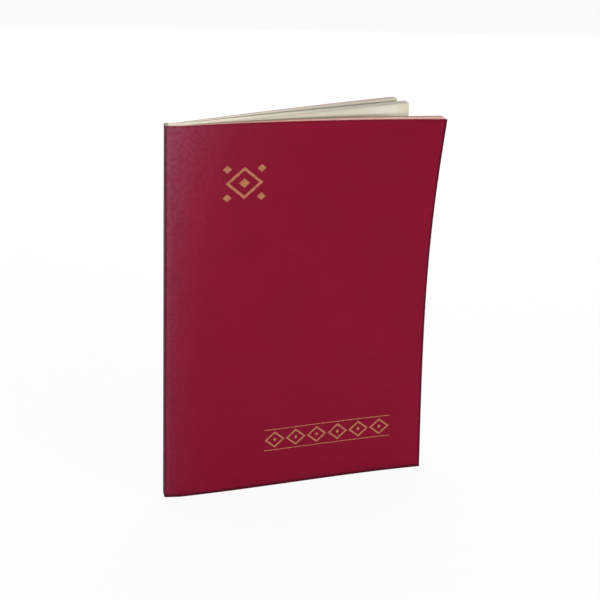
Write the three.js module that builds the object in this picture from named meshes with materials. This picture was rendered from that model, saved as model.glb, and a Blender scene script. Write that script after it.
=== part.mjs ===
// A soft-cover bank ledger book standing on its tail edge with its leaves fanned.
// Millimetres. X runs from the spine to the fore-edge, Y from the front cover to the back, Z up.
// Leans are angles in plan from +X towards +Y, in degrees.
import * as THREE from 'three';

// Format
const bookHeight = 280;
const coverWidth = 210;
const foreEdgeOverhang = 0.5;

// Sheets
const coverThickness = 0.5;
const endpaperThickness = 0.15;
const leafThickness = 0.1;
const leavesPerSection = 16;
const middleSectionCount = 4;

// Binding at the spine
const spineCornerRadius = 1.2;
const liningThickness = 0.3;
const glueThickness = 0.5;
const threadDiameter = 0.4;
const threadSides = 8;
const kettleStitchInset = 18;
const foldChamfer = 0.4;
const frontHingeWidth = 12;
const backHingeWidth = 9;

// Clearances
const pasteGap = 0.1;
const turningGap = 0.3;
const creaseGap = 0.35;
const creaseProud = 0.2;

// How the front cover and the leaves behind it stand
const frontCreaseLeanDegrees = 12.8;
const frontTailBowDegrees = 5.5;
const frontTailLeanDegrees = 10.8;
const frontHeadLeanDegrees = -4;
const flarePower = 3.4;
const frontFlyleafFanDegrees = 0.4;
const frontSectionFanDegrees = 0.6;
const frontSectionInnerFanDegrees = 3.5;

// How the middle leaves stand
const middleLeanDegrees = 23.7;
const middleFanDegreesPerSection = 0.24;
const middleSectionWedgeDegrees = 0.2;

// How the back cover and the leaves before it stand
const backCreaseLeanDegrees = 32;
const backEdgeLeanDegrees = 25.5;
const backFlyleafFanDegrees = 0.3;
const backSectionFanDegrees = 0.4;
const backSectionInnerFanDegrees = 1.1;

// Steps along a bent sheet and up a twisted one
const bendSteps = 14;
const twistSteps = 8;
const cornerSteps = 4;

// Worked-out sizes
const leafWidth = coverWidth - foreEdgeOverhang;
const sectionThickness = leafThickness * leavesPerSection;
const spineInnerX = coverThickness + pasteGap;
const glueX = spineInnerX + liningThickness + pasteGap;
const threadX = glueX + glueThickness + pasteGap + threadDiameter / 2;
const foldX = threadX + threadDiameter / 2 + pasteGap;

// Each layer's depth behind the outside of its cover, the same at the front and at the back
const pastedownDepth = coverThickness + pasteGap;
const flyleafDepth = pastedownDepth + endpaperThickness + turningGap;
const outerSectionDepth = flyleafDepth + endpaperThickness + pasteGap;
const middleDepth = outerSectionDepth + sectionThickness + turningGap;
const middleThickness = middleSectionCount * sectionThickness + (middleSectionCount - 1) * pasteGap;
const spineThickness = 2 * middleDepth + middleThickness;

const radians = THREE.MathUtils.degToRad;
const materials = {
  coverCloth: { color: 0x82182c, roughness: 0.55, metalness: 0 },
  ledgerPaper: { color: 0xe6dfcc, roughness: 0.9, metalness: 0 },
  endpaper: { color: 0xefe9dc, roughness: 0.85, metalness: 0 },
  lining: { color: 0xd8d2c0, roughness: 0.95, metalness: 0 },
  glue: { color: 0xe9dfb8, roughness: 0.4, metalness: 0 },
  thread: { color: 0xf2eee0, roughness: 0.8, metalness: 0 },
};

const book = new THREE.Group();

function addPiece(name, geometry, finish) {
  const piece = new THREE.Mesh(geometry, new THREE.MeshStandardMaterial(materials[finish]));
  piece.name = name;
  book.add(piece);
}

// A plan outline raised from the tail edge to the head
function uprightSolid(outline, height = bookHeight) {
  return new THREE.ExtrudeGeometry(new THREE.Shape(outline), { depth: height, bevelEnabled: false });
}

function uprightBox(lowX, highX, lowY, highY) {
  return uprightSolid([
    new THREE.Vector2(lowX, lowY),
    new THREE.Vector2(highX, lowY),
    new THREE.Vector2(highX, highY),
    new THREE.Vector2(lowX, highY),
  ]);
}

function arcPoints(centreX, centreY, radius, fromDegrees, toDegrees) {
  const points = [];
  for (let step = 0; step <= cornerSteps; step += 1) {
    const angle = radians(fromDegrees + ((toDegrees - fromDegrees) * step) / cornerSteps);
    points.push(new THREE.Vector2(centreX + radius * Math.cos(angle), centreY + radius * Math.sin(angle)));
  }
  return points;
}

// One closed sheet between two faces, each given as a point for a share along and a share up
function bentSheet(frontPoint, backPoint, stepsUp) {
  const positions = [];
  const indices = [];
  const rowLength = bendSteps + 1;
  const faceLength = rowLength * (stepsUp + 1);
  for (const facePoint of [frontPoint, backPoint]) {
    for (let up = 0; up <= stepsUp; up += 1) {
      for (let along = 0; along <= bendSteps; along += 1) {
        positions.push(...facePoint(along / bendSteps, up / stepsUp).toArray());
      }
    }
  }
  const front = (along, up) => up * rowLength + along;
  const back = (along, up) => faceLength + front(along, up);
  const quad = (a, b, c, d) => indices.push(a, b, c, a, c, d);
  for (let up = 0; up < stepsUp; up += 1) {
    for (let along = 0; along < bendSteps; along += 1) {
      quad(front(along, up), front(along + 1, up), front(along + 1, up + 1), front(along, up + 1));
      quad(back(along, up), back(along, up + 1), back(along + 1, up + 1), back(along + 1, up));
    }
    quad(front(0, up), front(0, up + 1), back(0, up + 1), back(0, up));
    quad(front(bendSteps, up), back(bendSteps, up), back(bendSteps, up + 1), front(bendSteps, up + 1));
  }
  for (let along = 0; along < bendSteps; along += 1) {
    quad(front(along, 0), back(along, 0), back(along + 1, 0), front(along + 1, 0));
    quad(front(along, stepsUp), front(along + 1, stepsUp), back(along + 1, stepsUp), back(along, stepsUp));
  }
  const geometry = new THREE.BufferGeometry();
  geometry.setAttribute('position', new THREE.Float32BufferAttribute(positions, 3));
  geometry.setIndex(indices);
  geometry.computeVertexNormals();
  return geometry;
}

// A vertical face that leaves a crease line at a set offset and follows a lean that changes along it
function creaseFace({ creaseX, creaseY, offset, start, length, leanAt }) {
  const stepsPerSpan = 4;
  return (share, up) => {
    const z = up * bookHeight;
    const span = length - start;
    const steps = Math.round(share * bendSteps) * stepsPerSpan;
    const stepLength = span / (bendSteps * stepsPerSpan);
    const startLean = radians(leanAt(start / length, up));
    let x = creaseX + start * Math.cos(startLean);
    let y = creaseY + start * Math.sin(startLean);
    for (let step = 0; step < steps; step += 1) {
      const lean = radians(leanAt((start + (step + 0.5) * stepLength) / length, up));
      x += stepLength * Math.cos(lean);
      y += stepLength * Math.sin(lean);
    }
    const endLean = radians(leanAt((start + steps * stepLength) / length, up));
    return new THREE.Vector3(x - offset * Math.sin(endLean), y + offset * Math.cos(endLean), z);
  };
}

// The front cover bows near the tail and flares forward towards the head
function frontLean(along, up) {
  const tail = THREE.MathUtils.lerp(frontCreaseLeanDegrees, frontTailLeanDegrees, along);
  const bowed = tail + frontTailBowDegrees * 4 * along * (1 - along);
  const head = THREE.MathUtils.lerp(frontCreaseLeanDegrees, frontHeadLeanDegrees, along);
  return THREE.MathUtils.lerp(bowed, head, up ** flarePower);
}

function backLean(along) {
  return THREE.MathUtils.lerp(backCreaseLeanDegrees, backEdgeLeanDegrees, along);
}

function frontSheet(depth, thickness, width, fan, fanBack, start) {
  const face = (offset, fanAngle) => creaseFace({
    creaseX: frontHingeWidth,
    creaseY: -creaseProud,
    offset: creaseProud + offset,
    start,
    length: width - frontHingeWidth,
    leanAt: (along, up) => frontLean(along, up) + fanAngle,
  });
  return bentSheet(face(depth, fan), face(depth + thickness, fanBack), twistSteps);
}

function backSheet(depth, thickness, width, fan, fanFront, start) {
  const face = (offset, fanAngle) => creaseFace({
    creaseX: backHingeWidth,
    creaseY: spineThickness + creaseProud,
    offset: -creaseProud - offset,
    start,
    length: width - backHingeWidth,
    leanAt: (along) => backLean(along) - fanAngle,
  });
  return bentSheet(face(depth + thickness, fanFront), face(depth, fan), 1);
}

// The part of the cover that wraps the spine and ends at the two creases
function addSpineCover() {
  const outer = spineCornerRadius;
  const inner = spineCornerRadius - coverThickness;
  const frontEnd = frontHingeWidth - creaseGap;
  const backEnd = backHingeWidth - creaseGap;
  const backY = spineThickness;
  const outline = [
    new THREE.Vector2(frontEnd, 0),
    new THREE.Vector2(frontEnd, coverThickness),
    ...arcPoints(outer, outer, inner, 270, 180),
    ...arcPoints(outer, backY - outer, inner, 180, 90),
    new THREE.Vector2(backEnd, backY - coverThickness),
    new THREE.Vector2(backEnd, backY),
    ...arcPoints(outer, backY - outer, outer, 90, 180),
    ...arcPoints(outer, outer, outer, 180, 270),
  ];
  addPiece('spine_cover', uprightSolid(outline), 'coverCloth');
}

// Cloth lining and glue on the backs of the folds
function addSpineLayers() {
  const lowY = pastedownDepth + spineCornerRadius;
  const highY = spineThickness - lowY;
  addPiece('spine_lining', uprightBox(spineInnerX, spineInnerX + liningThickness, lowY, highY), 'lining');
  addPiece('spine_glue', uprightBox(glueX, glueX + glueThickness, lowY, highY), 'glue');
}

// One run of sewing thread along the fold of each section
function addSewingThreads(foldMiddles) {
  const length = bookHeight - 2 * kettleStitchInset;
  foldMiddles.forEach((middleY, index) => {
    const geometry = new THREE.CylinderGeometry(threadDiameter / 2, threadDiameter / 2, length, threadSides);
    geometry.rotateX(Math.PI / 2);
    geometry.translate(threadX, middleY, bookHeight / 2);
    addPiece(`sewing_thread_${index + 1}`, geometry, 'thread');
  });
}

// How far a layer's bound margin reaches before its leaves turn at the front crease
function frontMarginEnd(depth) {
  return frontHingeWidth - (creaseProud + depth) * Math.sin(radians(middleLeanDegrees)) - creaseGap;
}

function backMarginEnd(depth) {
  return backHingeWidth + (creaseProud + depth) * Math.sin(radians(middleLeanDegrees)) - creaseGap;
}

// A folded endpaper's bound part: one half under the cover's hinge strip, the other on the first section
function addEndpaperFold(name, marginEnd, toY) {
  const outerEnd = marginEnd(pastedownDepth + endpaperThickness);
  const innerEnd = marginEnd(flyleafDepth + endpaperThickness);
  const foldWall = endpaperThickness;
  const outline = [
    [foldX, pastedownDepth],
    [outerEnd, pastedownDepth],
    [outerEnd, pastedownDepth + endpaperThickness],
    [foldX + foldWall, pastedownDepth + endpaperThickness],
    [foldX + foldWall, flyleafDepth],
    [innerEnd, flyleafDepth],
    [innerEnd, flyleafDepth + endpaperThickness],
    [foldX, flyleafDepth + endpaperThickness],
  ].map(([x, depth]) => new THREE.Vector2(x, toY(depth)));
  addPiece(name, uprightSolid(outline), 'endpaper');
}

// The sewn fold and bound margin of an outer section
function addSectionFold(name, marginEnd, toY) {
  const nearDepth = outerSectionDepth;
  const farDepth = outerSectionDepth + sectionThickness;
  const outline = [
    [foldX + foldChamfer, nearDepth],
    [marginEnd(nearDepth), nearDepth],
    [marginEnd(farDepth), farDepth],
    [foldX + foldChamfer, farDepth],
    [foldX, farDepth - foldChamfer],
    [foldX, nearDepth + foldChamfer],
  ].map(([x, depth]) => new THREE.Vector2(x, toY(depth)));
  addPiece(name, uprightSolid(outline), 'ledgerPaper');
}

// A middle section runs back from its fold, bends at the gutter and leans away
function addMiddleSection(index) {
  const nearY = middleDepth + index * (sectionThickness + pasteGap);
  const farY = nearY + sectionThickness;
  const nearLean = middleLeanDegrees + index * middleFanDegreesPerSection;
  const face = (y, lean) => {
    const bendX = frontHingeWidth - (creaseProud + y) * Math.tan(radians(middleLeanDegrees) / 2);
    const reach = leafWidth - bendX;
    const bend = new THREE.Vector2(bendX, y);
    const end = new THREE.Vector2(reach, 0).rotateAround(new THREE.Vector2(), radians(lean)).add(bend);
    return { bend, end };
  };
  const near = face(nearY, nearLean);
  const far = face(farY, nearLean + middleSectionWedgeDegrees);
  addPiece(`section_${index + 2}`, uprightSolid([
    new THREE.Vector2(foldX, nearY + foldChamfer),
    new THREE.Vector2(foldX + foldChamfer, nearY),
    near.bend,
    near.end,
    far.end,
    far.bend,
    new THREE.Vector2(foldX + foldChamfer, farY),
    new THREE.Vector2(foldX, farY - foldChamfer),
  ]), 'ledgerPaper');
}

function addFrontPieces() {
  const coverStart = creaseGap / 2;
  const pastedownWidth = coverWidth - pasteGap;
  addPiece('front_cover', frontSheet(0, coverThickness, coverWidth, 0, 0, coverStart), 'coverCloth');
  addPiece(
    'front_pastedown',
    frontSheet(pastedownDepth, endpaperThickness, pastedownWidth, 0, 0, coverStart),
    'endpaper',
  );
  addPiece(
    'front_flyleaf',
    frontSheet(flyleafDepth, endpaperThickness, leafWidth, frontFlyleafFanDegrees, frontFlyleafFanDegrees, 0),
    'endpaper',
  );
  addPiece(
    'section_1_leaves',
    frontSheet(
      outerSectionDepth,
      sectionThickness,
      leafWidth,
      frontSectionFanDegrees,
      frontSectionInnerFanDegrees,
      0,
    ),
    'ledgerPaper',
  );
}

function addBackPieces(lastSection) {
  const coverStart = creaseGap / 2;
  const pastedownWidth = coverWidth - pasteGap;
  addPiece(
    `section_${lastSection}_leaves`,
    backSheet(
      outerSectionDepth,
      sectionThickness,
      leafWidth,
      backSectionFanDegrees,
      backSectionInnerFanDegrees,
      0,
    ),
    'ledgerPaper',
  );
  addPiece(
    'back_flyleaf',
    backSheet(flyleafDepth, endpaperThickness, leafWidth, backFlyleafFanDegrees, backFlyleafFanDegrees, 0),
    'endpaper',
  );
  addPiece(
    'back_pastedown',
    backSheet(pastedownDepth, endpaperThickness, pastedownWidth, 0, 0, coverStart),
    'endpaper',
  );
  addPiece('back_cover', backSheet(0, coverThickness, coverWidth, 0, 0, coverStart), 'coverCloth');
}

const fromFront = (depth) => depth;
const fromBack = (depth) => spineThickness - depth;
const lastSection = middleSectionCount + 2;
const outerFoldMiddle = outerSectionDepth + sectionThickness / 2;
const foldMiddles = [outerFoldMiddle];
for (let index = 0; index < middleSectionCount; index += 1) {
  foldMiddles.push(middleDepth + index * (sectionThickness + pasteGap) + sectionThickness / 2);
}
foldMiddles.push(spineThickness - outerFoldMiddle);

addSpineCover();
addSpineLayers();
addSewingThreads(foldMiddles);
addEndpaperFold('front_endpaper_fold', frontMarginEnd, fromFront);
addSectionFold('section_1_fold', frontMarginEnd, fromFront);
for (let index = 0; index < middleSectionCount; index += 1) {
  addMiddleSection(index);
}
addSectionFold(`section_${lastSection}_fold`, backMarginEnd, fromBack);
addEndpaperFold('back_endpaper_fold', backMarginEnd, fromBack);
addFrontPieces();
addBackPieces(lastSection);

// The origin is on the table, under the middle of the book's outline in plan
const extent = new THREE.Box3().setFromObject(book);
const middle = extent.getCenter(new THREE.Vector3());
book.position.set(-middle.x, -middle.y, -extent.min.z);

export default book;
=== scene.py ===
import math
import random

import bpy
import numpy as np
from mathutils import Matrix, Vector


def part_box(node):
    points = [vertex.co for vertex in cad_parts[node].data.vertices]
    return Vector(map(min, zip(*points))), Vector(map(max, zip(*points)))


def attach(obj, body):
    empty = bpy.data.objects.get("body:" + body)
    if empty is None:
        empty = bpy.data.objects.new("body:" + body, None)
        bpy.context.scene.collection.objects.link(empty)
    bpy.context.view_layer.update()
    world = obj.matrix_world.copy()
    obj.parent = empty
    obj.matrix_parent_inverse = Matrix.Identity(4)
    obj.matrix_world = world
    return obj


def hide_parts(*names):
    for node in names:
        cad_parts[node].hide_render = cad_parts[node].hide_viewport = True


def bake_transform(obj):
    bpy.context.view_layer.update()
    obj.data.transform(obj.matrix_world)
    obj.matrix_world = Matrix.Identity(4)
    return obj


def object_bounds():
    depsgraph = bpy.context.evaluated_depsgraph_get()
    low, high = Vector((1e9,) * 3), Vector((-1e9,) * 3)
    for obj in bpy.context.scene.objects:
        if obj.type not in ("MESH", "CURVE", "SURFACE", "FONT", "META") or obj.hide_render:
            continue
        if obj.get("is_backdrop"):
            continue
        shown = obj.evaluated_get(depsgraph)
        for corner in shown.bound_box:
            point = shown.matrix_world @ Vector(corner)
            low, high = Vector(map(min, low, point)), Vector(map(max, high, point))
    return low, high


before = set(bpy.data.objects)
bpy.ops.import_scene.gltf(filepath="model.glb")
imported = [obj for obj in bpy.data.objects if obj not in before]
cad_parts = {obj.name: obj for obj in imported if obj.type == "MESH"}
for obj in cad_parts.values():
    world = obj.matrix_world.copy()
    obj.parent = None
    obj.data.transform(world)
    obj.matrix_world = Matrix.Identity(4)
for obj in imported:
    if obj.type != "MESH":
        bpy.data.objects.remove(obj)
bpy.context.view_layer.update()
scene = bpy.context.scene
print("frame loaded")

# The book's own frame is in millimetres: x from the spine to the fore-edge, y from the front cover
# to the back, z up from the tail. Its corner is the tail end of the spine's front corner.
mm = 0.001
spineLow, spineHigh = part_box("spine_cover")
bookHeight = (spineHigh.z - spineLow.z) / mm
spineThickness = (spineHigh.y - spineLow.y) / mm
bookCorner = np.array(spineLow)

sheets = {
    "coverWidth": 210,
    "leafWidth": 209.5,
    "card": 0.5,
    "endpaper": 0.15,
    "leaf": 0.1,
    "leavesPerSection": 16,
    "middleSections": 4,
}

# How far behind the outside of its cover each layer starts
layers = {
    "pasted": 0.51,
    "pastedBack": 0.75,
    "flyleaf": 1.05,
    "outerSection": 1.3,
    "middle": 3.2,
    "sectionGap": 0.1,
    "creaseProud": 0.2,
}

folds = {
    "x": 2.1,  # where the backs of the folds stand
    "spineCorner": 1.2,  # outside radius of the cover at the spine
    "creaseHalf": 0.8,
    "gutterHalf": 3,
    "middleGutterHalf": 2.5,
    "blendBefore": 4,  # leaves start to turn this far on the spine's side of the crease
    "blendAfter": 3,
}


def lerp(a, b, share):
    return a + (b - a) * share


# How far each side leans back, in degrees. The front bows near the tail and flares forward to the head.
frontCurve = {"bySpine": 12.8, "foreEdgeAtTail": 10.8, "foreEdgeAtHead": -4, "bow": 5.5, "flarePower": 3.4}
backCurve = {"bySpine": 32, "foreEdge": 25.5}


def frontLean(along, up):
    curve = frontCurve
    bowed = lerp(curve["bySpine"], curve["foreEdgeAtTail"], along) + curve["bow"] * 4 * along * (1 - along)
    flared = lerp(curve["bySpine"], curve["foreEdgeAtHead"], along)
    return lerp(bowed, flared, up ** curve["flarePower"])


def backLean(along, up):
    return lerp(backCurve["bySpine"], backCurve["foreEdge"], along) + 0 * up  # a value for each of both


# Each side turns about a crease line just outside its cover. Sign is the way in from the cover.
frontSide = {"x": 12, "y": -layers["creaseProud"], "sign": 1, "lean": frontLean}
backSide = {"x": 9, "y": spineThickness + layers["creaseProud"], "sign": -1, "lean": backLean}
middleStand = {"lean": 23.7, "fanPerSection": 0.24, "wedge": 0.2, "bow": 0.25}


# Shader maths

class Wire:
    def __init__(self, finish, socket):
        self.finish = finish
        self.socket = socket

    def maths(self, operation, *values):
        sockets = dict(enumerate((self, *values)))
        return self.finish.node("Math", {"operation": operation}, sockets)

    def __add__(self, other):
        return self.maths("ADD", other)

    __radd__ = __add__

    def __sub__(self, other):
        return self.maths("SUBTRACT", other)

    def __rsub__(self, other):
        return (self * -1) + other

    def __mul__(self, other):
        return self.maths("MULTIPLY", other)

    __rmul__ = __mul__

    def __truediv__(self, other):
        return self.maths("DIVIDE", other)

    def __pow__(self, other):
        return self.maths("POWER", other)

    def __lt__(self, other):
        return self.maths("LESS_THAN", other)

    def __gt__(self, other):
        return self.maths("GREATER_THAN", other)

    def __abs__(self):
        return self.maths("ABSOLUTE")


# A colour as a screen shows it, made linear for a shader
def linearColour(screenColour):
    shares = [value / 255 for value in screenColour]
    return (*[s / 12.92 if s <= 0.04045 else ((s + 0.055) / 1.055) ** 2.4 for s in shares], 1)


class Finish:
    def __init__(self, name, kind=bpy.data.materials):
        self.data = kind.new(name)
        self.data.use_nodes = True
        self.tree = self.data.node_tree

    # A shader node by its type: its settings come first, then the values or wires of its sockets
    def node(self, kind, settings=None, sockets=None, output=0):
        made = self.tree.nodes.new("ShaderNode" + kind)
        for name, value in (settings or {}).items():
            setattr(made, name, value)
        for name, value in (sockets or {}).items():
            self.feed(made.inputs[name], value)
        return Wire(self, made.outputs[output])

    def feed(self, socket, value):
        if isinstance(value, Wire):
            self.tree.links.new(value.socket, socket)
        else:
            socket.default_value = value

    def surface(self, colour, rough, bump=None, specular=0.5, metallic=0.0):
        values = {"Base Color": colour, "Roughness": rough, "Metallic": metallic}
        values["Specular IOR Level"] = specular
        if bump:
            values["Normal"] = bump
        for name, value in values.items():
            self.feed(self.tree.nodes["Principled BSDF"].inputs[name], value)
        return self.data

    def parts(self, vector):
        split = self.node("SeparateXYZ", None, {"Vector": vector})
        return [Wire(self, output) for output in split.socket.node.outputs]

    # Coats of colour one over another, each after its share
    def painted(self, colour, *coats):
        settings = {"data_type": "RGBA", "blend_type": "MIX"}
        for share, coat in coats:
            first, second = (c if isinstance(c, Wire) else linearColour(c) for c in (colour, coat))
            colour = self.node("Mix", settings, {0: share, 6: first, 7: second}, 2)
        return colour

    # 0 below the first value, 1 above the second, smooth between them
    def rise(self, value, low, high):
        sockets = {"Value": value, "From Min": low, "From Max": high}
        return self.node("MapRange", {"interpolation_type": "SMOOTHSTEP"}, sockets)

    def noise(self, vector, scale, detail=2, roughness=0.5):
        sockets = {"Vector": vector, "Scale": scale, "Detail": detail, "Roughness": roughness}
        return self.node("TexNoise", None, sockets)

    def stretched(self, vector, by):
        return self.node("VectorMath", {"operation": "MULTIPLY"}, {0: vector, 1: by})

    # Up to 1 and down to 0 again in each pitch
    def waves(self, value, pitch):
        return (value * (math.tau / pitch)).maths("SINE") * 0.5 + 0.5

    def bump(self, strength, distance, height):
        sockets = {"Strength": strength, "Distance": distance, "Height": height}
        return self.node("Bump", None, sockets)

    # Where a point lies on its sheet, from the marks that its mesh carries
    def placeOnSheet(self):
        return self.node("Attribute", {"attribute_name": "onSheet"}, None, "Vector")

    # Where a point lies in the room, for pieces that never move
    def placeInRoom(self):
        return self.node("TexCoord", None, None, "Object")


# In each look a colour is as a screen shows it, from 0 to 255, a noise is its scale, detail and roughness,
# and a range is where a rise starts and ends
coverLook = {
    "wine": (132, 11, 44),
    "wineDeep": (124, 9, 41),
    "hollow": (92, 3, 24),
    # Painted sheen, partly rubbed wear, pale along the spine
    "rubAndSheen": (140, 76, 98),
    "edge": (70, 8, 26),
    "mottle": (26, 4, 0.6),
    "clouds": (7, 2, 0.5),
    "cloudRange": (0.36, 0.66),
    # Painted shade: the card darker towards the tail
    "deeperAtTail": 0.5,
    "hollows": 0.75,
    "grainSize": 1.15 * mm,
    "grainWander": 0.9 * mm,
    "grainDepth": 0.13 * mm,
    "grainStrength": 0.9,
    "creaseShare": 0.24,  # of a pebble, on each side of a crease
    "wear": (60, 5, 0.65),
    "wearRange": (0.2, 0.75),
    "fineWear": (330, 3, 0.6),
    "fineWearRange": (0.36, 0.64),
    "rubAndSheenReach": 11 * mm,
    "rubAndSheenHeadReach": 13 * mm,  # how much further the painted sheen and the rubbing reach at the head
    "rubAndSheenLow": 0.16,
    "rubAndSheenHigher": 0.18,
    "rubAndSheenAtHead": 0.37,
    # A painted highlight line beside each fold of the spine
    "foldSheen": 0.1,
    "foldSheenStart": (0.8 * mm, 2 * mm),
    "foldSheenEnd": (3.2 * mm, 5 * mm),
    # Painted shade along the spine's folds and the cut edges, and at the head
    "foldShade": 0.55,
    "foldShadeRange": (0.5 * mm, 1.3 * mm),
    "edgeWidth": 2 * mm,
    "edgeShade": 0.9,
    "headShade": 0.3,
    "roughness": 0.6,
    "specular": 0.07,
}


# A pressed leather grain: rounded pebbles between wandering creases, and fine pores
def pressedGrain(finish, onSheet):
    size = coverLook["grainSize"]
    drift = finish.node("TexNoise", None, {"Vector": onSheet, "Scale": 0.55 / size}, "Color")
    wander = {0: drift, 1: [coverLook["grainWander"]] * 3, 2: onSheet}
    wandered = finish.node("VectorMath", {"operation": "MULTIPLY_ADD"}, wander)
    settings = {"feature": "DISTANCE_TO_EDGE", "voronoi_dimensions": "2D"}
    creases = finish.node("TexVoronoi", settings, {"Vector": wandered, "Scale": 1 / size})
    pebbles = finish.rise(creases, 0, coverLook["creaseShare"])
    pores = finish.noise(onSheet, 4 / size, 3, 0.6)
    return pebbles, pores


# Wine-red card with a pressed leather grain, a painted sheen (partly rubbed wear) along the spine and
# painted shade at its cut edges
def coverCard():
    finish = Finish("wine_grained_card")
    look = coverLook
    along, up, toForeEdge = finish.parts(finish.placeOnSheet())
    onSheet = finish.node("CombineXYZ", None, {"X": along, "Y": up})
    pebbles, pores = pressedGrain(finish, onSheet)
    hollows = (1 - pebbles) * (0.3 + pores * 0.4)
    mottle = finish.noise(onSheet, *look["mottle"])
    clouds = finish.noise(onSheet, *look["clouds"])
    higher = up / (bookHeight * mm)
    headward = higher**4
    # Painted shade, darker towards the tail
    deeper = (1 - higher) ** 3 * look["deeperAtTail"]
    shade = finish.rise(mottle * 0.6 + clouds * 0.4, *look["cloudRange"]) - deeper

    # Painted sheen, partly rubbed wear: pale from the spine outward, most at the head, with a painted
    # highlight line beside each fold
    halfSpine = spineThickness / 2 * mm
    fromFold = (abs(along + halfSpine) - halfSpine).maths("MAXIMUM", 0)
    reach = look["rubAndSheenReach"] + headward * look["rubAndSheenHeadReach"]
    falling = (fromFold / reach * -1).maths("EXPONENT")
    wear = finish.rise(finish.noise(onSheet, *look["wear"]), *look["wearRange"])
    fineWear = finish.rise(finish.noise(onSheet, *look["fineWear"]), *look["fineWearRange"])
    patchy = wear * 0.35 + 0.5 + fineWear * 0.44
    # Painted highlight beside each fold
    foldSheen = finish.rise(fromFold, *look["foldSheenStart"]) * (1 - finish.rise(fromFold, *look["foldSheenEnd"]))
    rubAndSheenStrength = look["rubAndSheenLow"] + higher * look["rubAndSheenHigher"] + headward * look["rubAndSheenAtHead"]
    rubAndSheen = falling * patchy * rubAndSheenStrength + foldSheen * look["foldSheen"] * (higher + 0.3)

    # Painted shade in a thin line at each fold of the spine
    foldShade = 1 - finish.rise(abs(fromFold - 0.3 * mm), *look["foldShadeRange"])
    # Painted shade along the cut edges and at the head
    width = look["edgeWidth"]
    inner = finish.rise(toForeEdge, 0.5 * width, 1.3 * width) * finish.rise(up, 0.7 * width, 1.5 * width)
    atHead = 1 - finish.rise(bookHeight * mm - up, 0.2 * width, width)
    colour = finish.painted(
        look["wineDeep"],
        (shade, look["wine"]),
        (hollows * look["hollows"], look["hollow"]),
        (rubAndSheen, look["rubAndSheen"]),
        (foldShade * look["foldShade"], look["edge"]),
        ((1 - inner) * look["edgeShade"], look["edge"]),
        (atHead * look["headShade"], look["edge"]),
    )
    bump = finish.bump(look["grainStrength"], look["grainDepth"], pebbles * 0.7 + pores * 0.4)
    rough = look["roughness"] + (mottle - 0.5) * 0.16 - rubAndSheen * 0.14
    return finish.surface(colour, rough, bump, look["specular"])


foilLook = {
    "gold": (172, 114, 72),
    "tarnish": (132, 58, 54),
    "wear": (520, 4, 0.65),
    "wearRange": (0.42, 0.66),
    "dull": (45, 2),
    "metallic": 0.5,
    "roughness": 0.45,
    "grainStrength": 0.7,
}


# Stamped gold foil, thin enough for the card's grain to break it up
def stampedFoil():
    finish = Finish("stamped_gold_foil")
    look = foilLook
    place = finish.placeOnSheet()
    pebbles, pores = pressedGrain(finish, place)
    worn = finish.rise(finish.noise(place, *look["wear"]), *look["wearRange"])
    worn = worn.maths("MAXIMUM", (1 - pebbles) * (pores + 0.25))
    dull = finish.noise(place, *look["dull"])
    colour = finish.painted(look["gold"], (worn * 0.8, look["tarnish"]))
    bump = finish.bump(look["grainStrength"], coverLook["grainDepth"], pebbles)
    rough = look["roughness"] + worn * 0.25 + dull * 0.1
    return finish.surface(colour, rough, bump, metallic=look["metallic"] - worn * 0.3)


pageLook = {
    "paper": (218, 212, 199),
    "paperWarm": (210, 202, 186),
    "edge": (196, 188, 165),
    "cutPair": ((246, 240, 222), (192, 187, 172)),
    "rosyPair": ((250, 208, 202), (214, 154, 144)),
    # How the head's tones shift at the corner of the fore-edge and by the spine, towards the second colour
    "cutShift": (0.3, -0.6),
    "rosyShift": (-0.25, 0.3),
    "shiftFrom": 20 * mm,
    "shiftTo": 170 * mm,
    # Painted shadow at the head of the innermost front leaves, where they meet the middle block
    "headShadow": (140, 112, 80),
    "innerHeadShadow": [0.9, 0.9, 0.8, 0.6, 0.4],  # on the innermost of the front leaves, at the head
    "feint": (140, 160, 182),
    "red": (186, 84, 88),
    "edgeWidth": 2.2 * mm,
    "foreEdgeWidth": 15 * mm,
    "cutSliver": 0.25 * mm,
    "fromFold": 14 * mm,  # the bound margin of a right-hand page
    "rowPitch": 7 * mm,
    "lowestRow": 14 * mm,
    "headRule": 254 * mm,
    "lineHalf": 0.13 * mm,
    "doubleRules": [16, 96, 128, 160],
    "singleRules": [8, 84],
    "doubleGap": 1 * mm,
    "headRuleGap": 1.2 * mm,
    "cashFrom": 97 * mm,
    "cashPitch": 4.5 * mm,
    "rowInk": 0.7,
    "cashInk": 0.55,
    "redInk": 0.8,
    "handled": 0.8,  # how strongly the sheet's borders take the edge's colour
    "fibres": (900, 4, 0.7),
    "fibreRange": (0.25, 0.6),
    "clouds": (16, 3),
    "cloudRange": (0.35, 0.7),
    "roughness": 0.82,
    "specular": 0.25,
}


# Where the guillotine cut the sheets, each leaf takes its own tone between two colours. The head's
# two colours come first, then those of the tail and the fore-edge.
def cutEdges(finish, colour, inward, up, headPair, headShift, restPair):
    sliver = pageLook["cutSliver"]
    tone = finish.node("Attribute", {"attribute_name": "leafTone"}, None, "Fac")
    rest = ((up < sliver) + (inward < sliver / 3)).maths("MINIMUM", 1)
    restColour = finish.painted(restPair[0], (tone, restPair[1]))
    atCorner, bySpine = headShift
    spineward = finish.rise(inward, pageLook["shiftFrom"], pageLook["shiftTo"])
    headTone = tone + spineward * (bySpine - atCorner) + atCorner
    # A tone above 1 lays a painted shadow over the head
    head = finish.painted(headPair[0], (headTone, headPair[1]), (tone - 1, pageLook["headShadow"]))
    return finish.painted(colour, (rest, restColour), (up > bookHeight * mm - sliver, head))


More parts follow.
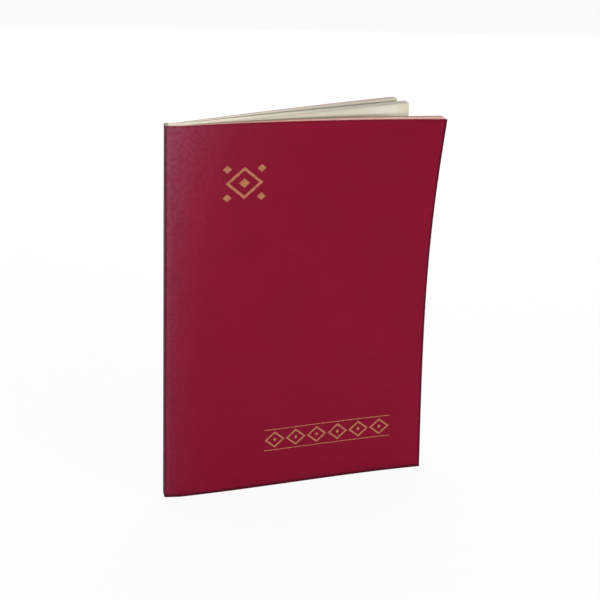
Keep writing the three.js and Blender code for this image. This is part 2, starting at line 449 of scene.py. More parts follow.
# Ledger paper: feint rows, red column rules and fine cash columns, with the head of the page left blank.
# A sheet's place is its distance in from the fore-edge, its height, and 1 on a left-hand page.
def ledgerPaper(name, headPair, headShift):
    finish = Finish(name)
    look = pageLook
    place = finish.placeOnSheet()
    inward, up, leftHand = finish.parts(place)
    pageReach = (sheets["leafWidth"] - folds["x"]) * mm - look["fromFold"]
    half = look["lineHalf"]
    # The left edge is the fore-edge on a left-hand page, and by the fold on a right-hand one
    fromLeft = (pageReach - inward) * (1 - leftHand) + inward * leftHand

    def lineEvery(value, pitch):
        return value.maths("PINGPONG", pitch / 2) < half

    def lineAt(value, position):
        return value.maths("COMPARE", position, half)

    below = up < look["headRule"]
    rows = lineEvery(up - look["lowestRow"], look["rowPitch"]) * below
    rows = rows * (up > look["lowestRow"] - 2 * half)
    cash = lineEvery(fromLeft - look["cashFrom"], look["cashPitch"]) * below
    cash = cash * (fromLeft > look["cashFrom"])
    red = lineAt(up, look["headRule"]) + lineAt(up, look["headRule"] + look["headRuleGap"])
    for position in look["singleRules"] + look["doubleRules"]:
        red = red + lineAt(fromLeft, position * mm) * below
    for position in look["doubleRules"]:
        red = red + lineAt(fromLeft, position * mm + look["doubleGap"]) * below

    fibres = finish.noise(finish.stretched(place, (1, 1.7, 1)), *look["fibres"])
    clouds = finish.noise(place, *look["clouds"])
    width = look["edgeWidth"]
    inner = finish.rise(bookHeight * mm - up, 0, width) * finish.rise(up, 0, width)
    inner = inner * finish.rise(inward, -width, look["foreEdgeWidth"])
    faint = finish.rise(fibres, *look["fibreRange"]) * 0.4 + 0.45
    colour = finish.painted(
        look["paper"],
        (finish.rise(clouds, *look["cloudRange"]), look["paperWarm"]),
        ((1 - inner) * look["handled"], look["edge"]),
        (rows * faint * look["rowInk"], look["feint"]),
        (cash * faint * look["cashInk"], look["feint"]),
        (red * faint * look["redInk"], look["red"]),
    )
    colour = cutEdges(finish, colour, inward, up, headPair, headShift, look["cutPair"])
    rough = look["roughness"] + fibres * 0.12
    bump = finish.bump(0.25, 0.02 * mm, fibres)
    return finish.surface(colour, rough, bump, look["specular"])


endpaperLook = {
    "cream": (226, 217, 199),
    "warm": (220, 209, 188),
    "fleck": (188, 170, 138),
    "browned": (204, 188, 158),
    "brownedWidth": 9 * mm,
    "brownedWander": 12 * mm,
    "laidPitch": 1.1 * mm,
    "laidRelief": 0.35,
    "fibres": (700, 5, 0.7),
    "clouds": (45, 5, 0.7),
    "pulp": (2600, 2, 0.5),
    "fleckRange": (0.66, 0.78),
    "roughness": 0.8,
}


# Plain heavier endpaper with a laid texture
def endpaperStock():
    finish = Finish("endpaper_stock")
    look = endpaperLook
    place = finish.placeOnSheet()
    inward, up, _ = finish.parts(place)
    laid = finish.waves(up, look["laidPitch"])
    fibres = finish.noise(place, *look["fibres"])
    clouds = finish.noise(place, *look["clouds"])
    pulp = finish.noise(finish.stretched(place, (1, 0.35, 1)), *look["pulp"])
    fromEdge = inward.maths("MINIMUM", up).maths("MINIMUM", bookHeight * mm - up)
    browning = 1 - finish.rise(fromEdge + (clouds - 0.5) * look["brownedWander"], 0, look["brownedWidth"])
    colour = finish.painted(
        look["cream"],
        (finish.rise(clouds, 0.3, 0.7), look["warm"]),
        (finish.rise(pulp, *look["fleckRange"]) * 0.4, look["fleck"]),
        (browning * 0.5, look["browned"]),
    )
    rosyPair, rosyShift = pageLook["rosyPair"], pageLook["rosyShift"]
    colour = cutEdges(finish, colour, inward, up, rosyPair, rosyShift, pageLook["cutPair"])
    bump = finish.bump(0.3, 0.03 * mm, laid * look["laidRelief"] + fibres)
    rough = look["roughness"] + fibres * 0.15
    return finish.surface(colour, rough, bump, pageLook["specular"])


liningLook = {
    "threadPitch": 0.8 * mm,
    "light": (222, 214, 192),
    "dark": (176, 164, 136),
}


# Open mull cloth behind the folds
def liningCloth():
    finish = Finish("mull_cloth")
    _, across, up = finish.parts(finish.placeInRoom())
    pitch = liningLook["threadPitch"]
    weave = finish.waves(up, pitch).maths("MAXIMUM", finish.waves(across, pitch))
    colour = finish.painted(liningLook["dark"], (finish.rise(weave, 0.35, 0.9), liningLook["light"]))
    bump = finish.bump(0.8, 0.1 * mm, weave)
    return finish.surface(colour, 0.95 - weave * 0.1, bump)


glueLook = {
    "pale": (206, 188, 142),
    "aged": (182, 156, 108),
    "brushMarks": (1400, 3, 0.6),
    "clouds": (90, 2),
    "specular": 0.2,
}


# Dried glue, yellowed and slightly glossy, brushed along the folds
def spineGlue():
    finish = Finish("spine_glue")
    look = glueLook
    place = finish.placeInRoom()
    brushed = finish.noise(finish.stretched(place, (1, 1, 0.12)), *look["brushMarks"])
    clouds = finish.noise(place, *look["clouds"])
    colour = finish.painted(look["pale"], (finish.rise(clouds, 0.3, 0.7), look["aged"]))
    bump = finish.bump(0.6, 0.08 * mm, brushed)
    return finish.surface(colour, 0.5 + brushed * 0.2, bump, look["specular"])


threadLook = {
    "twist": 0.9 * mm,
    "shade": (206, 194, 162),
    "light": (240, 233, 212),
    "fuzz": (3000, 3),
}


# Two-ply waxed linen thread
def linenThread():
    finish = Finish("linen_thread")
    place = finish.placeInRoom()
    _, across, up = finish.parts(place)
    ply = finish.waves(up + across * 1.5, threadLook["twist"])
    fuzz = finish.noise(place, *threadLook["fuzz"])
    colour = finish.painted(threadLook["shade"], (ply, threadLook["light"]))
    bump = finish.bump(0.8, 0.06 * mm, ply + fuzz * 0.3)
    return finish.surface(colour, 0.62 + fuzz * 0.15, bump)


cardFinish = coverCard()
foilFinish = stampedFoil()
paperFinish = ledgerPaper("ledger_paper", pageLook["cutPair"], pageLook["cutShift"])
frontPaperFinish = ledgerPaper("ledger_paper_rosy_head", pageLook["rosyPair"], pageLook["rosyShift"])
endpaperFinish = endpaperStock()
print("finishes made")


# Meshes

def addObject(name, data):
    made = bpy.data.objects.new(name, data)
    scene.collection.objects.link(made)
    return made


# The vertices round the rim of a grid, in order, and the way out at each, along and up
def rimOf(rows, columns):
    places = [(0, c) for c in range(columns)]
    places += [(r, columns - 1) for r in range(1, rows)]
    places += [(rows - 1, c) for c in range(columns - 2, -1, -1)]
    places += [(r, 0) for r in range(rows - 2, 0, -1)]
    ways = [((c == columns - 1) - (c == 0), (r == rows - 1) - (r == 0)) for r, c in places]
    return np.array(places), np.array(ways, float)


rimTurns = [35, 65, 90]  # degrees round each half of a rounded rim
sharpAngle = 38


# Gathers closed sheets, in millimetres, for one piece
class Sheets:
    def __init__(self):
        self.points, self.faces, self.marks, self.looks, self.tones = [], [], [], [], []
        self.count = 0

    # low and high are the two sides of a sheet, rows by columns, and rings go round its rim between them
    def shell(self, low, high, lowMarks, highMarks, rings=(), look=0, tone=0.5):
        rows, columns = low.shape[:2]
        rim, _ = rimOf(rows, columns)
        self.points += [low.reshape(-1, 3), high.reshape(-1, 3), *rings]
        rimMarks = lowMarks[rim[:, 0], rim[:, 1]]
        self.marks += [lowMarks.reshape(-1, 3), highMarks.reshape(-1, 3), *[rimMarks] * len(rings)]
        start = self.count
        size = rows * columns
        index = np.arange(size).reshape(rows, columns) + start
        corners = [index[:-1, :-1], index[:-1, 1:], index[1:, 1:], index[1:, :-1]]
        front = np.stack(corners, -1).reshape(-1, 4)
        self.faces += [front, front[:, [0, 3, 2, 1]] + size]
        lowRim = index[rim[:, 0], rim[:, 1]]
        ringIndex = np.arange(len(rings) * len(rim)).reshape(-1, len(rim)) + start + 2 * size
        loops = [lowRim, *ringIndex, lowRim + size]
        for near, far in zip(loops[:-1], loops[1:]):
            self.faces.append(np.stack([near, far, np.roll(far, -1), np.roll(near, -1)], -1))
        self.count += 2 * size + len(rings) * len(rim)
        tone = np.broadcast_to(tone, (rows, columns))
        rimTone = tone[rim[:, 0], rim[:, 1]]
        self.tones += [tone.ravel(), tone.ravel(), *[rimTone] * len(rings)]
        self.looks += [look] * (2 * len(front) + (len(rings) + 1) * len(rim))

    # A sheet of even thickness about a middle line in plan, rows by columns, at the given heights.
    # Its rim is rounded at head and tail, and at each end of the line where ends has a 1.
    def sheet(self, line, heights, thickness, marks, highMarks=None, rim=0, ends=(0, 0), look=0, tone=0.5):
        tangent = np.gradient(line, axis=1)
        tangent /= np.linalg.norm(tangent, axis=-1, keepdims=True)
        normal = np.stack([-tangent[..., 1], tangent[..., 0]], -1)
        half = thickness / 2

        def lifted(plan, height):
            return np.concatenate([plan, height[..., None]], -1)

        levels = np.broadcast_to(heights[:, None], line.shape[:2]).astype(float)
        low = lifted(line - normal * half, levels)
        high = lifted(line + normal * half, levels)
        rings = []
        if rim:
            places, ways = rimOf(*line.shape[:2])
            ways[:, 0] = np.where(ways[:, 0] < 0, -ends[0], ways[:, 0] * ends[1])
            r, c = places[:, 0], places[:, 1]
            quarter = [(rim * math.sin(a), half - rim * (1 - math.cos(a))) for a in np.radians(rimTurns)]
            steps = [(out, -offset) for out, offset in quarter] + quarter[::-1]
            for out, offset in steps:
                plan = line[r, c] + tangent[r, c] * ways[:, :1] * out + normal[r, c] * offset
                rings.append(lifted(plan, levels[r, c] + ways[:, 1] * out))
        self.shell(low, high, marks, marks if highMarks is None else highMarks, rings, look, tone)

    def piece(self, name, *finishes):
        points = np.concatenate(self.points) * mm + bookCorner
        faces = np.concatenate(self.faces)
        mesh = bpy.data.meshes.new(name)
        mesh.from_pydata(points.tolist(), [], faces.tolist())
        marks = mesh.attributes.new("onSheet", "FLOAT_VECTOR", "POINT")
        marks.data.foreach_set("vector", np.concatenate(self.marks).ravel())
        tones = mesh.attributes.new("leafTone", "FLOAT", "POINT")
        tones.data.foreach_set("value", np.concatenate(self.tones))
        for finish in finishes:
            mesh.materials.append(finish)
        mesh.polygons.foreach_set("material_index", self.looks)
        mesh.polygons.foreach_set("use_smooth", [True] * len(faces))
        mesh.set_sharp_from_angle(angle=math.radians(sharpAngle))
        mesh.validate()
        return addObject(name, mesh)


# One sheet as a piece of its own
def sheetPiece(name, finish, line, heights, thickness, marks, rim=0, ends=(0, 0)):
    made = Sheets()
    made.sheet(line, heights, thickness, marks, rim=rim, ends=ends)
    return made.piece(name, finish)


# What a finish reads at each point: two distances in metres, and a third value as it is
def sheetMarks(line, across, heights, third):
    marks = np.zeros((*line.shape[:2], 3))
    marks[..., 0] = across * mm
    marks[..., 1] = heights[:, None] * mm
    marks[..., 2] = third
    return marks


# A point at an arc length along a side's curve, set off from it, for arrays of equal shape
def leaningPoint(side, length, s, up, offset, fan):
    steps = 40
    share = (np.arange(steps) + 0.5) / steps
    fan = np.broadcast_to(fan, s.shape)
    lean = np.radians(side["lean"](s[..., None] * share / length, up[..., None]) + fan[..., None])
    x = side["x"] + s * np.cos(lean).mean(-1)
    y = side["y"] + s * np.sin(lean).mean(-1)
    end = np.radians(side["lean"](s / length, up) + fan)
    return np.stack([x - offset * np.sin(end), y + offset * np.cos(end)], -1)


# A straight margin and a bend that lead to a leaf, with the leaf
def runsTo(leaf, start, bendFrom, corner, bendColumns=9):
    t = np.linspace(0, 1, bendColumns)[None, :, None]
    bend = (1 - t) ** 2 * bendFrom + 2 * t * (1 - t) * corner + t**2 * leaf[:, :1]
    margin = lerp(start, bendFrom, np.linspace(0, 1, 3)[None, :, None])
    return margin, bend, leaf


# The plan of a sheet that turns at a side's crease, in three runs: its margin, its bend and its leaf.
# Depth is from the outside of the cover to the sheet's middle.
def turningRuns(side, depth, width, ups, fan, startX, bendHalf, leafColumns):
    rows = len(ups)
    length = width - side["x"]
    offset = side["sign"] * (layers["creaseProud"] + depth)
    fan = np.broadcast_to(fan, (rows,))[:, None]
    up = ups[:, None]
    halfTurn = np.tan(np.radians(side["lean"](np.zeros_like(up), up) + fan) / 2)
    cornerX = side["x"] - offset * halfTurn
    marginY = np.full((rows, 1), side["y"] + offset)
    corner = np.stack([cornerX, marginY], -1)
    bendFrom = np.stack([cornerX - bendHalf, marginY], -1)
    start = np.stack([np.full((rows, 1), float(startX)), marginY], -1)
    leafFrom = offset * halfTurn + bendHalf
    s = leafFrom + (length - leafFrom) * np.linspace(0, 1, leafColumns)[None, :]
    leaf = leaningPoint(side, length, s, np.broadcast_to(up, s.shape), offset, fan)
    return runsTo(leaf, start, bendFrom, corner)


# The same plan at each of so many heights
def repeated(plan, rows):
    return np.broadcast_to(plan, (rows, *plan.shape)).copy()


# Runs end to end, each starting where the one before it stops
def joined(*runs):
    return np.concatenate([runs[0], *[run[:, 1:] for run in runs[1:]]], 1)


def lengthsAlong(line):
    steps = np.linalg.norm(np.diff(line, axis=1), axis=-1)
    return np.concatenate([np.zeros((len(line), 1)), np.cumsum(steps, 1)], 1)


def inwardAlong(line):
    lengths = lengthsAlong(line)
    return lengths[:, -1:] - lengths


headGather = {"power": 1.6, "share": 0.6}


# Rows gather towards the head, where the cover flares
def upsOf(rows):
    t = np.linspace(0, 1, rows)
    return lerp(t, 1 - (1 - t) ** headGather["power"], headGather["share"])


# Covers

coverMesh = {"rows": 30, "columns": 52, "rim": 0.2, "strip": 7, "spine": 9, "corner": 7}
pastedInset = {"foreEdge": 0.35, "ends": 0.1}
farFromEdge = 200  # stands for the distance to the fore-edge where a sheet has none
spineInward = 100 * mm  # and the spine's

pastedThickness = layers["pastedBack"] - layers["pasted"]
pastedDepth = (layers["pasted"] + layers["pastedBack"]) / 2
coverUps = upsOf(coverMesh["rows"])
heights = coverMesh["rim"] + coverUps * (bookHeight - 2 * coverMesh["rim"])


def cardRuns(side, depth, width):
    return turningRuns(
        side, depth, width, coverUps, 0, folds["spineCorner"], folds["creaseHalf"], coverMesh["columns"]
    )


# Across the card a place is measured from the spine's front corner, and round the spine on the back
def coverMarks(side, line, startX):
    distance = startX + lengthsAlong(line)
    around = distance if side["sign"] > 0 else -(spineThickness + distance)
    return sheetMarks(line, around, heights, (sheets["coverWidth"] - distance) * mm)


runs = {}
for name, side in (("front", frontSide), ("back", backSide)):
    runs[name] = cardRuns(side, sheets["card"] / 2, sheets["coverWidth"] - coverMesh["rim"])


# The plan of the spine and both strips glued to the block beside it
def spineOutline():
    half = sheets["card"] / 2
    corner = folds["spineCorner"]
    radius = corner - half
    highCentre = spineThickness - corner

    def cornerArc(centreY, fromDegrees, toDegrees):
        angles = np.radians(np.linspace(fromDegrees, toDegrees, coverMesh["corner"]))
        return np.stack([corner + radius * np.cos(angles), centreY + radius * np.sin(angles)], -1)

    frontCrease, backCrease = runs["front"][1][0, 0], runs["back"][1][0, 0]
    outline = [
        np.linspace(frontCrease, (corner, half), coverMesh["strip"]),
        cornerArc(corner, 270, 180),
        np.linspace((half, corner), (half, highCentre), coverMesh["spine"]),
        cornerArc(highCentre, 180, 90),
        np.linspace((corner, spineThickness - half), backCrease, coverMesh["strip"]),
    ]
    return joined(*[run[None] for run in outline])[0]


spineLine = repeated(spineOutline(), len(heights))
around = spineLine[0, 0, 0] - lengthsAlong(spineLine)
spineMarks = sheetMarks(spineLine, around, heights, spineInward)
spinePiece = sheetPiece(
    "spine_and_strips", cardFinish, spineLine, heights, sheets["card"], spineMarks, coverMesh["rim"]
)
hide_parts("spine_cover")
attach(spinePiece, "bound_block")


def rowPoint(x, y=0.0, z=0.0):
    return tuple(np.array([x, y, z]) * mm + bookCorner)


# The card and its pasted endpaper bend at the crease. The first half of both bends makes one crease piece,
# and the rest of each makes a piece of its own
def addCover(name, side):
    _, bend, board = runs[name]
    _, paperBend, paperBoard = cardRuns(side, pastedDepth, sheets["coverWidth"] - pastedInset["foreEdge"])
    paperHeights = pastedInset["ends"] + coverUps * (bookHeight - 2 * pastedInset["ends"])
    middle = bend.shape[1] // 2
    startX, turnX = float(bend[0, 0, 0]), float(bend[0, middle, 0])

    crease = Sheets()
    line = bend[:, : middle + 1]
    crease.sheet(line, heights, sheets["card"], coverMarks(side, line, startX), rim=coverMesh["rim"])
    line = paperBend[:, : middle + 1]
    marks = sheetMarks(line, farFromEdge + lengthsAlong(line), paperHeights, 0)
    crease.sheet(line, paperHeights, pastedThickness, marks, look=1)
    creasePiece = crease.piece(f"{name}_crease", cardFinish, endpaperFinish)
    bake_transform(creasePiece)

    line = joined(bend[:, middle:], board)
    marks = coverMarks(side, line, turnX)
    coverPiece = sheetPiece(
        f"{name}_cover_card", cardFinish, line, heights, sheets["card"], marks, coverMesh["rim"], (0, 1)
    )
    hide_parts(f"{name}_cover")
    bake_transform(coverPiece)

    line = joined(paperBend[:, middle:], paperBoard)
    marks = sheetMarks(line, inwardAlong(line), paperHeights, 0)
    paperName = f"{name}_pasted_endpaper"
    paperPiece = sheetPiece(paperName, endpaperFinish, line, paperHeights, pastedThickness, marks)
    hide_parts(f"{name}_pastedown")
    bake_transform(paperPiece)


addCover("front", frontSide)
addCover("back", backSide)
print("covers made")


# Stamped ornament on the front cover, in millimetres across from the spine and up from the tail

foil = {"proud": 0.012, "thickness": 0.03, "mitreGap": 0.001}
lowerBand = {
    "fromX": 79, "toX": 184, "height": 36, "halfHigh": 6.4, "diamonds": 6, "stroke": 1.25,
    "sideGap": 0.5, "dotHalf": 1.5, "rule": 0.55, "ruleGap": 1.6,
}
upperFigure = {
    "x": 60, "height": 235.5, "halfWide": 14.5, "halfHigh": 12, "stroke": 1.9,
    "middleHalf": 4.2, "smallHalf": 3.4, "smallAt": (13.2, 10.6), "flat": 0.85,
}


def onFrontCover(across, up, depth):
    s = np.asarray(across, float) - frontSide["x"]
    height = np.asarray(up, float)
    plan = leaningPoint(
        frontSide, sheets["coverWidth"] - frontSide["x"], s, height / bookHeight,
        layers["creaseProud"] + depth, 0.0,
    )
    return np.concatenate([plan, height[..., None]], -1)


# A patch between four corners, given anticlockwise, laid on the cover
def foilPatch(sheet, corners, columns, rows=2):
    a, b, c, d = np.array(corners, float)
    along = np.linspace(0, 1, columns)[None, :, None]
    up = np.linspace(0, 1, rows)[:, None, None]
    flat = lerp(lerp(a, b, along), lerp(d, c, along), up)
    outside = onFrontCover(flat[..., 0], flat[..., 1], -foil["proud"] - foil["thickness"])
    inside = onFrontCover(flat[..., 0], flat[..., 1], -foil["proud"])
    marks = np.concatenate([flat, 0 * flat[..., :1]], -1) * mm
    sheet.shell(outside, inside, marks, marks)


def diamondCorners(x, z, halfWide, halfHigh):
    return [(x - halfWide, z), (x, z - halfHigh), (x + halfWide, z), (x, z + halfHigh)]


def foilDiamond(sheet, x, z, halfWide, halfHigh):
    foilPatch(sheet, diamondCorners(x, z, halfWide, halfHigh), 4, 4)


# An open diamond as four mitred strokes
def foilOpenDiamond(sheet, x, z, halfWide, halfHigh, stroke):
    slope = math.hypot(halfWide, halfHigh)
    inWide = halfWide - stroke * slope / halfHigh
    inHigh = halfHigh - stroke * slope / halfWide
    outer = diamondCorners(x, z, halfWide, halfHigh)
    inner = diamondCorners(x, z, inWide, inHigh)
    gap = foil["mitreGap"]
    for corner in range(4):
        following = (corner + 1) % 4
        a, b = np.array(outer[corner]), np.array(outer[following])
        c, d = np.array(inner[following]), np.array(inner[corner])
        foilPatch(sheet, [lerp(a, b, gap), lerp(b, a, gap), lerp(c, d, gap), lerp(d, c, gap)], 5)


foilSheets = Sheets()
band = lowerBand
pitch = (band["toX"] - band["fromX"]) / band["diamonds"]
for number in range(band["diamonds"]):
    x = band["fromX"] + (number + 0.5) * pitch
    halfWide = pitch / 2 - band["sideGap"]
    foilOpenDiamond(foilSheets, x, band["height"], halfWide, band["halfHigh"], band["stroke"])
    foilDiamond(foilSheets, x, band["height"], band["dotHalf"], band["dotHalf"])
for side in (-1, 1):
    middle = band["height"] + side * (band["halfHigh"] + band["ruleGap"])
    low, high = middle - band["rule"] / 2, middle + band["rule"] / 2
    corners = [(band["fromX"], low), (band["toX"], low), (band["toX"], high), (band["fromX"], high)]
    foilPatch(foilSheets, corners, int((band["toX"] - band["fromX"]) / 2))

figure = upperFigure
x, z, flat = figure["x"], figure["height"], figure["flat"]
foilOpenDiamond(foilSheets, x, z, figure["halfWide"], figure["halfHigh"], figure["stroke"])
foilDiamond(foilSheets, x, z, figure["middleHalf"], figure["middleHalf"] * flat)
small = figure["smallHalf"]
for across, up in ((-1, -1), (1, -1), (1, 1), (-1, 1)):
    smallX, smallZ = x + across * figure["smallAt"][0], z + up * figure["smallAt"][1]
    foilDiamond(foilSheets, smallX, smallZ, small, small * flat)
foilPiece = foilSheets.piece("front_cover_foil", foilFinish)
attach(foilPiece, "front_board")
print("foil made")


# Leaves

leafMesh = {"rows": 14, "straightRows": 8, "columns": 16, "middleBend": 7, "foldSteps": 6}
drawnLeaf = 0.096  # a hair thinner than its room, so that neighbours share no points
leafWave = {"degrees": 0.1, "turns": 1.7}
leafTones = {
    "drift": 0.28, "perFolio": 2.1, "perSection": 1.7, "scatter": 0.3, "darker": 0.35, "darkerShare": 0.2,
    "seed": 40,
}
trimming = {"head": 0.12, "tail": 0.04}
# How far the outer sections fan, in degrees, how unevenly, and their seeds
outerFans = {"front": (0.6, 3.5, 11), "back": (0.4, 1.1, 21), "unevenness": 0.75}
middleSeeds = {"tail": 70, "head": 80, "unevenness": 0.8}
widerGaps = {"count": 3, "width": 1.6}


# Shares of a section's fan for its leaves, in order, in seeded uneven steps that never cross
def unevenShares(seed, unevenness):
    rolls = random.Random(seed)
    count = sheets["leavesPerSection"]
    steps = [1 - unevenness + 2 * unevenness * rolls.random() for _ in range(count)]
    for place in rolls.sample(range(count), widerGaps["count"]):
        steps[place] += widerGaps["width"] * unevenness
    total = np.cumsum(steps)
    return (total - steps[0] / 2) / (total[-1] + steps[-1] / 2)


# The same for each leaf at the given heights, from its share at the tail to its share at the head
def sharesAt(ups, tailSeed, headSeed, unevenness):
    ends = unevenShares(tailSeed, unevenness), unevenShares(headSeed, unevenness)
    return [lerp(tail, head, ups) for tail, head in zip(*ends)]


# Folded sheets, one inside the next: a near leaf, the fold at the spine and a far leaf
def folioLine(near, far):
    nearY, farY = near[0, 0, 1], far[0, 0, 1]
    middleY, radius = (nearY + farY) / 2, (farY - nearY) / 2
    angles = np.radians(np.linspace(270, 90, leafMesh["foldSteps"] + 1))
    arc = np.stack([near[0, 0, 0] + radius * np.cos(angles), middleY + radius * np.sin(angles)], -1)
    return np.concatenate([near[:, ::-1], repeated(arc, len(near))[:, 1:-1], far], 1)


def addSection(number, lines, heights, ride, nodes):
    count = sheets["leavesPerSection"]
    rolls = random.Random(leafTones["seed"] + number)
    outer, inner = Sheets(), Sheets()
    for index in range(count // 2):
        near, far = lines[index], lines[count - 1 - index]
        line = folioLine(near, far)
        columns = line.shape[1]
        nearInward, farInward = inwardAlong(near)[:, ::-1], inwardAlong(far)
        fold = np.repeat(nearInward[:, -1:], leafMesh["foldSteps"] - 1, 1)
        inward = np.concatenate([nearInward, fold, farInward], 1)
        onFar = (np.arange(columns) >= columns // 2).astype(float)
        # Leaves darken and pale in drifts through the block, now and then with a darker one
        phase = leafTones["perFolio"] * index + leafTones["perSection"] * number
        drift = 0.5 + leafTones["drift"] * math.sin(phase) + leafTones["scatter"] * (rolls.random() - 0.5)
        darker = leafTones["darker"] if rolls.random() < leafTones["darkerShare"] else 0
        tone = min(1, max(0, drift + darker))
        # The far halves of the innermost front leaves take a painted shadow at the head
        if number == 1 and index < len(pageLook["innerHeadShadow"]):
            tone = np.where(onFar > 0, 1 + pageLook["innerHeadShadow"][index], tone)
        trimmed = heights.copy()
        trimmed[-1] -= trimming["head"] * rolls.random()
        trimmed[0] += trimming["tail"] * rolls.random()
        # Outside, a folded sheet's near leaf has a right-hand page and its far leaf a left-hand one
        target = outer if index == 0 else inner
        outside = sheetMarks(line, inward, trimmed, 1 - onFar)
        inside = sheetMarks(line, inward, trimmed, onFar)
        target.sheet(line, trimmed, drawnLeaf, outside, inside, tone=tone)
    paper = frontPaperFinish if number == 1 else paperFinish
    outerPiece = outer.piece(f"section_{number}_outer_folio", paper)
    innerPiece = inner.piece(f"section_{number}_folios", paper)
    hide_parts(*nodes)
    for piece in (outerPiece, innerPiece):
        ride(piece)


def turnWith():
    return lambda piece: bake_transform(piece)


def rideOnBlock(piece):
    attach(piece, "bound_block")


foldCentreX = folds["x"] + sheets["leavesPerSection"] // 2 * sheets["leaf"]
frontUps = upsOf(leafMesh["rows"])
backUps = np.linspace(0, 1, leafMesh["straightRows"])


def outerSectionLines(name, side, ups):
    fanFrom, fanTo, seed = outerFans[name]
    wave = leafWave["degrees"] * np.sin(leafWave["turns"] * math.pi * ups + seed)
    lines = []
    for index, share in enumerate(sharesAt(ups, seed, seed + 1, outerFans["unevenness"])):
        fan = side["sign"] * lerp(fanFrom, fanTo, share) + wave * share
        depth = layers["outerSection"] + (index + 0.5) * sheets["leaf"]
        lines.append(joined(*turningRuns(
            side, depth, sheets["leafWidth"], ups, fan, foldCentreX, folds["gutterHalf"], leafMesh["columns"]
        )))
    return lines if side["sign"] > 0 else lines[::-1]


frontLines = outerSectionLines("front", frontSide, frontUps)
frontNodes = ["section_1_leaves", "section_1_fold"]
addSection(1, frontLines, frontUps * bookHeight, turnWith(), frontNodes)


# A middle leaf runs back from its fold, bends at the gutter and stands away, very slightly bowed
def middleLine(y, lean, ups):
    rows = len(ups)
    halfTurn = math.tan(math.radians(middleStand["lean"]) / 2)
    cornerX = frontSide["x"] - (layers["creaseProud"] + y) * halfTurn
    reach = sheets["leafWidth"] - cornerX
    gutter = folds["middleGutterHalf"]
    spread = np.linspace(gutter / reach, 1, leafMesh["columns"])
    direction = np.stack([np.cos(np.radians(lean)), np.sin(np.radians(lean))], -1)[:, None, :]
    sideways = np.stack([-direction[..., 1], direction[..., 0]], -1)
    corner = np.array([cornerX, y])
    bow = middleStand["bow"] * np.sin(math.pi * spread)[None, :, None]
    leaf = corner + direction * (reach * spread)[None, :, None] + sideways * bow
    bendFrom = repeated(np.array([[cornerX - gutter, y]]), rows)
    start = repeated(np.array([[foldCentreX, y]]), rows)
    return joined(*runsTo(leaf, start, bendFrom, corner, leafMesh["middleBend"]))


sectionThickness = sheets["leavesPerSection"] * sheets["leaf"]
for index in range(sheets["middleSections"]):
    nearY = layers["middle"] + index * (sectionThickness + layers["sectionGap"])
    nearLean = middleStand["lean"] + index * middleStand["fanPerSection"]
    tailSeed, headSeed = middleSeeds["tail"] + index, middleSeeds["head"] + index
    lines = []
    for leaf, share in enumerate(sharesAt(backUps, tailSeed, headSeed, middleSeeds["unevenness"])):
        lean = nearLean + middleStand["wedge"] * share
        lines.append(middleLine(nearY + (leaf + 0.5) * sheets["leaf"], lean, backUps))
    number = index + 2
    addSection(number, lines, backUps * bookHeight, rideOnBlock, [f"section_{number}"])

lastSection = sheets["middleSections"] + 2
backLines = outerSectionLines("back", backSide, backUps)
backNodes = [f"section_{lastSection}_leaves", f"section_{lastSection}_fold"]
addSection(lastSection, backLines, backUps * bookHeight, turnWith(), backNodes)
print("sections made")


endpaperMesh = {"inset": 0.05, "extraColumns": 6, "foldSteps": 9}
endpaperFans = {"front": 0.4, "back": 0.3}


# Endpapers: a bound fold under the cover's strip, and a flyleaf that bends at the crease like the leaves
def addEndpaper(name, side, ups):
    thickness = sheets["endpaper"]
    flyleafDepth = layers["flyleaf"] + thickness / 2
    splitX = side["x"] - folds["blendBefore"]
    heights = endpaperMesh["inset"] + ups * (bookHeight - 2 * endpaperMesh["inset"])

    line = joined(*turningRuns(
        side, flyleafDepth, sheets["leafWidth"], ups, side["sign"] * endpaperFans[name], splitX,
        folds["gutterHalf"], leafMesh["columns"] + endpaperMesh["extraColumns"],
    ))
    marks = sheetMarks(line, inwardAlong(line), heights, 0)
    flyleafPiece = sheetPiece(f"{name}_flyleaf_sheet", endpaperFinish, line, heights, thickness, marks)
    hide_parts(f"{name}_flyleaf")
    turnWith()(flyleafPiece)

    creaseX = float(runs[name][1][0, 0, 0])
    radius = (flyleafDepth - pastedDepth) / 2
    centreX = folds["x"] + thickness / 2 + radius
    centreY = (pastedDepth + flyleafDepth) / 2
    outline = [(creaseX, pastedDepth), (lerp(creaseX, centreX, 0.5), pastedDepth)]
    for a in np.radians(np.linspace(270, 90, endpaperMesh["foldSteps"])):
        outline.append((centreX + radius * math.cos(a), centreY + radius * math.sin(a)))
    outline += [(lerp(centreX, splitX, 0.5), flyleafDepth), (splitX, flyleafDepth)]
    plan = np.array(outline)
    if side["sign"] < 0:
        plan[:, 1] = spineThickness - plan[:, 1]
        plan = plan[::-1]
    line = repeated(plan, len(ups))
    marks = sheetMarks(line, farFromEdge + lengthsAlong(line), heights, 0)
    foldPiece = sheetPiece(f"{name}_endpaper_hinge", endpaperFinish, line, heights, thickness, marks)
    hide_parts(f"{name}_endpaper_fold")
    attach(foldPiece, "bound_block")


addEndpaper("front", frontSide, frontUps)
addEndpaper("back", backSide, backUps)
print("endpapers made")


# The cloth glued over the backs of the folds, its warp threads showing as ripples at head and tail
liningMesh = {"thickness": 0.2, "ripple": 0.035, "columns": 73, "rows": 9, "inset": 0.05}


